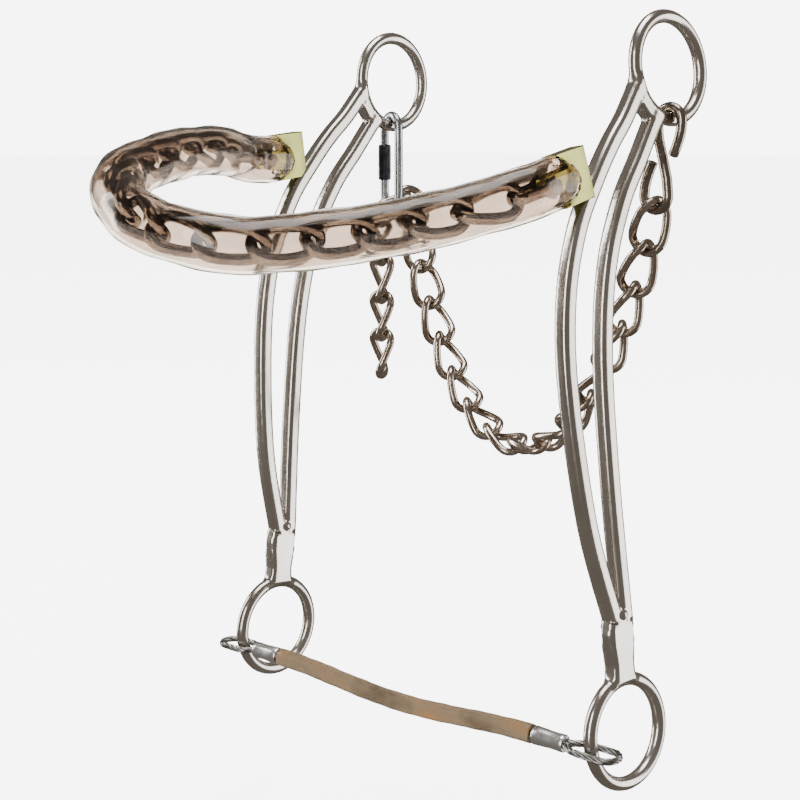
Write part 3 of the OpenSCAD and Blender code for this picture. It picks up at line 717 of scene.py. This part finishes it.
QUICK_WIRE, QUICK_H, QUICK_R = 3.2, 38.0, 5.0
quick_seat = far_foot + vec(0, 0, (4.3 + QUICK_WIRE) / 2 + 0.05)
quick_mid = quick_seat - vec(0, 0, (QUICK_H - QUICK_WIRE) / 2)
quick_x = vec(math.cos(math.radians(-12)), math.sin(math.radians(-12)), 0)
quick_leg = (QUICK_H - QUICK_WIRE) / 2 - QUICK_R


def quick_pt(a, b):
    return quick_mid + quick_x * a + vec(0, 0, b)


def quick_arc(a0, a1, s):
    return [quick_pt(QUICK_R * math.cos(t), s * quick_leg + QUICK_R * math.sin(t))
            for t in np.radians(np.linspace(a0, a1, 17))]


quick_path = ([quick_pt(-QUICK_R, -4.3), quick_pt(-QUICK_R, -quick_leg * 0.7)]
              + quick_arc(180, 360, -1) + [quick_pt(QUICK_R, 0)] + quick_arc(0, 180, 1)
              + [quick_pt(-QUICK_R, quick_leg * 0.7), quick_pt(-QUICK_R, -1.1)])
across_quick = np.cross(quick_x, vec(0, 0, 1))
v, f = sweep_data(quick_path, QUICK_WIRE / 2 - 0.02, QUICK_WIRE / 2 - 0.02, 18, False, across_quick, 0.3)
dress(mesh("quick_link_look", v, f), ZINC, "curb", "quick_link")


def nut_data():
    at = quick_pt(-QUICK_R, 0)
    n, rows = 48, []
    for z, r in ((-6.6, 2.1), (-6.45, 2.25), (-6.0, 2.4), (-5.2, 2.4), (5.2, 2.4), (6.0, 2.4),
                 (6.45, 2.25), (6.6, 2.1), (6.6, 1.69), (0, 1.69), (-6.6, 1.69)):
        for k in range(n):
            a = 2 * math.pi * k / n
            rr = r
            if r == 2.4:
                rr = min(2.58, 2.36 / max(abs(math.cos((a + math.pi / 6) % (math.pi / 3) - math.pi / 6)), 0.5))
            rows.append(at + quick_x * rr * math.cos(a) + across_quick * -rr * math.sin(a) + vec(0, 0, z))
    return np.array(rows), grid_faces(11, n, True)


v, f = nut_data()
dress(mesh("sleeve_nut_look", v, f, 25), BLACK, "nut", "sleeve_nut")

CURB_WIRE, CURB_PITCH, CURB_W = 2.9, 14.5, 13.0
curb_h = (CURB_PITCH + CURB_WIRE + GAP) / 2
curb_w = (CURB_W - CURB_WIRE) / 2
TILT, ROLL = math.radians(25), math.radians(39)
CAUGHT_TWIST = 63
caught_axis = vec(0, math.cos(TILT), math.sin(TILT))
caught_side = (vec(0, -math.sin(TILT), math.cos(TILT)) * math.cos(ROLL)
               + vec(math.sin(ROLL), 0, 0))
caught_mid = (quick_mid + vec(0, 0, (CURB_WIRE + 2 * QUICK_WIRE - QUICK_H) / 2 + 0.12)
              - caught_side * curb_w + caught_axis * 1.4)


def caught_pt(s, deg):
    """A point of the caught link's wire, at an angle round its rear or front end."""
    a = math.radians(deg)
    x, z = s * curb_w * math.cos(a), s * (curb_h - curb_w + curb_w * math.sin(a))
    q = math.radians(CAUGHT_TWIST / 2 * z / curb_h)
    return (caught_mid + caught_side * x * math.cos(q)
            + np.cross(caught_axis, caught_side) * x * math.sin(q) + caught_axis * z)


def curb_link(name, mid, t, side, body, twist=90):
    v, f = link_data(mid, t, side, curb_h, curb_w, CURB_WIRE, twist)
    dress(mesh(name + "_look", v, f, 0), CURB, body, name)


curb_link("caught_link", caught_mid, caught_axis, caught_side, "curb", CAUGHT_TWIST)
HALF_JOINT = (CURB_WIRE + GAP) / 2
tail_top = caught_pt(-1, 32) + vec(0, 0, HALF_JOINT)
strand_top = caught_pt(1, 60) - unit(vec(0.28, -0.03, -0.96)) * HALF_JOINT
TAIL_TURN = math.radians(-65)
strand_end = hook_low + vec(-4.4, 0, (HOOK_WIRE + GAP) / 2)
LINKS = 16
length = CURB_PITCH * LINKS
flat = vec(strand_end[0] - strand_top[0], strand_end[1] - strand_top[1], 0)
span, run_dir = np.linalg.norm(flat), unit(flat)
rise = strand_end[2] - strand_top[2]
ratio = math.sqrt(length ** 2 - rise ** 2) / span
lo, hi = 0.01, 6.0
for _ in range(50):
    k = (lo + hi) / 2
    lo, hi = (lo, k) if math.sinh(k) / k > ratio else (k, hi)
ca = span / 2 / k
low_x = span / 2 - ca * math.asinh(rise / (2 * ca * math.sinh(span / 2 / ca)))


def chain_pt(s):
    x = ca * math.asinh(math.sinh(-low_x / ca) + s / ca)
    return (strand_top + run_dir * (x + low_x)
            + vec(0, 0, ca * (math.cosh(x / ca) - math.cosh(low_x / ca))))


chain_side = np.cross(run_dir, vec(0, 0, 1))
for i in range(1, LINKS + 1):
    a, b = chain_pt(CURB_PITCH * (i - 1)), chain_pt(CURB_PITCH * i)
    t = unit(b - a)
    roll = math.radians(np.interp((i - 0.5) / LINKS, (0, 0.25, 0.8, 1), (60, -1, -1, -45)))
    side = chain_side * math.cos(roll) + np.cross(t, chain_side) * math.sin(roll)
    curb_link("curb_link_%02d" % i, (a + b) / 2, t, side, "curb")
for i in range(1, 5):
    curb_link("tail_link_%d" % i, tail_top - vec(0, 0, CURB_PITCH * (i - 0.5)),
              (0, 0, -1), (math.sin(TAIL_TURN), math.cos(TAIL_TURN), 0), "tail_%d" % i)

# ---------------------------------------------------------------- rein spreader
near_grip = near_pt((0, REIN[0] - RING_R * 0.99, REIN[1] - RING_R * 0.14))
far_grip = far_pt((0, REIN[0] - RING_R * 0.93, REIN[1] - RING_R * 0.37))
rope_dir = unit(far_grip - near_grip)
rope_side = unit(np.cross(vec(0, 0, 1), rope_dir))
ROPE_D, SLEEVE_D, FERR_D, FERR_L = 2.3, 6.2, 5.6, 11.0
EYE_OUT, EYE_W = 9.0, 2.15 + ROPE_D / 2 + 0.8
STRAND = ROPE_D / 2 + 0.06
near_crimp = near_grip + rope_dir * 9.0
far_crimp = far_grip - rope_dir * 6.0
rope_span = np.linalg.norm(far_crimp - near_crimp)
FREE = (FERR_L + 1) / rope_span


def rope_pt(k):
    q = np.clip((k - FREE) / (1 - 2 * FREE), 0, 1)
    return near_crimp + (far_crimp - near_crimp) * k - vec(0, 0, 3.0 * math.sin(math.pi * q) ** 2)


def eye_pts(grip, b, mouth):
    c = grip - b * (EYE_OUT - EYE_W)
    turnover = [c - b * EYE_W * math.cos(t) - rope_side * EYE_W * math.sin(t)
                for t in np.radians(np.arange(-80, 81, 20))]
    return ([grip + b * (mouth + FERR_L - 2) + rope_side * STRAND, grip + b * mouth + rope_side * STRAND,
             grip + b * (mouth * 0.45) + rope_side * EYE_W * 0.94] + turnover
            + [grip + b * (mouth * 0.45) - rope_side * EYE_W * 0.94,
               grip + b * mouth - rope_side * STRAND, grip + b * (mouth + FERR_L - 2) - rope_side * STRAND])


rope_mid = [rope_pt(FREE + (1 - 2 * FREE) * i / 24) for i in range(25)]
cable_path = (eye_pts(near_grip, rope_dir, 9.0) + rope_mid
              + eye_pts(far_grip, -rope_dir, 6.0)[::-1])


def stranded(path, d, lay, step, n=6):
    """Six strands laid round a core."""
    p = even(spline(path, 6), max(8, int(run_lengths(np.array(path))[-1] / step)))
    s = run_lengths(p)
    a, b = frames(p, False, (0, 0, 1))
    parts = [sweep_data(p, d * 0.2, d * 0.2, 6)]
    for k in range(6):
        w = 2 * math.pi * (s / lay + k / 6)
        q = p + (a * np.cos(w)[:, None] + b * np.sin(w)[:, None]) * d / 3
        parts.append(sweep_data(q, d / 6 - 0.005, d / 6 - 0.005, n))
    return join_data(parts)


v, f = stranded(cable_path, ROPE_D, 16, 0.8)
dress(mesh("spreader_cable_look", v, f, 0), ROPE, "spreader", "spreader_cable")

sl = np.array([rope_pt(FREE + (1 - 2 * FREE) * i / 90) for i in range(91)])
ss = np.linspace(0, 1, 91)
outer = 3.08 + 0.06 * np.sin(ss * 41) + 0.04 * np.sin(ss * 97 + 1) - 0.08
ov, of_ = sweep_data(sl, outer, outer, 28)
iv, _ = sweep_data(sl, 1.3, 1.3, 28)
v = np.concatenate([ov, iv.reshape(91, 28, 3)[::-1].reshape(-1, 3)])
dress(mesh("spreader_sleeve_look", v, grid_faces(182, 28, True), 50), SLEEVE, "spreader",
      "spreader_sleeve")


def ferrule_data(at, d):
    fr = placer(at, np.cross(d, vec(0, 0, 1)) / np.linalg.norm(np.cross(d, vec(0, 0, 1))), d)
    r = FERR_D / 2
    prof = [(2.42, 0.3), (2.45, 0.0), (r - 0.25, 0.0), (r - 0.02, 0.35), (r, 1.4), (r - 0.08, 2.2),
            (r - 0.1, 5.2), (r + 0.02, 6.4), (r + 0.1, 8.6), (r + 0.18, 10.7), (r, 11.0), (2.6, 11.0), (2.5, 10.6)]
    return revolve_data(prof, fr, 36)


for side, at, d in (("near", near_crimp, rope_dir), ("far", far_crimp, -rope_dir)):
    v, f = ferrule_data(at, d)
    dress(mesh(side + "_ferrule_look", v, f, 40), FERRULE, "spreader", side + "_ferrule")

# ---------------------------------------------------------------- floor, light and camera
bpy.ops.mesh.primitive_plane_add(size=30, location=(0, 0, -0.262))
floor = bpy.context.object
floor.name = "floor"
floor.data.materials.append(material("pale_floor", (0.93, 0.93, 0.93), 0.0, 0.9)[0])
# The metal mirrors the soft boxes and a dark room, not the floor or the white backdrop.
floor.visible_glossy = False
floor.visible_shadow = False

world = bpy.data.worlds.new("studio")
bpy.context.scene.world = world
world.use_nodes = True
wn = world.node_tree
room = wn.nodes["Background"]
room.inputs["Color"].default_value = (0.42, 0.38, 0.34, 1)
room.inputs["Strength"].default_value = 0.42
backdrop = wn.nodes.new("ShaderNodeBackground")
backdrop.inputs["Color"].default_value = (1, 1, 1, 1)
backdrop.inputs["Strength"].default_value = 7.0
lp = wn.nodes.new("ShaderNodeLightPath")
mixer = wn.nodes.new("ShaderNodeMixShader")
wn.links.new(lp.outputs["Is Glossy Ray"], mixer.inputs[0])
wn.links.new(backdrop.outputs[0], mixer.inputs[1])
wn.links.new(room.outputs[0], mixer.inputs[2])
wn.links.new(mixer.outputs[0], wn.nodes["World Output"].inputs["Surface"])


def softbox(name, at, size, power, color=(1, 1, 1)):
    l = bpy.data.lights.new(name, "AREA")
    l.shape = "RECTANGLE"
    l.size, l.size_y = size
    l.energy = power
    l.color = color
    o = bpy.data.objects.new(name, l)
    bpy.context.scene.collection.objects.link(o)
    o.location = at
    o.rotation_euler = (Vector((0, -0.04, -0.1)) - Vector(at)).to_track_quat("-Z", "Y").to_euler()
    return o


softbox("rear_right", (1.15, 1.15, -0.2), (0.75, 1.6), 15)
softbox("strip_left", (-1.3, -0.7, 0.2), (0.3, 1.5), 16)
softbox("strip_front", (0.5, -1.7, 0.4), (0.3, 1.4), 14)
softbox("top", (0.0, 0.0, 1.4), (0.9, 0.9), 20)

cam = bpy.data.cameras.new("camera")
cam.lens = 67.6
cam.sensor_width = 36
cam.clip_start = 0.01
cam_o = bpy.data.objects.new("camera", cam)
bpy.context.scene.collection.objects.link(cam_o)
cam_o.location = (0.351, -0.3951, -0.0199)
cam_o.rotation_euler = Vector((-0.7085, 0.6839, -0.1739)).to_track_quat("-Z", "Y").to_euler()
bpy.context.scene.camera = cam_o
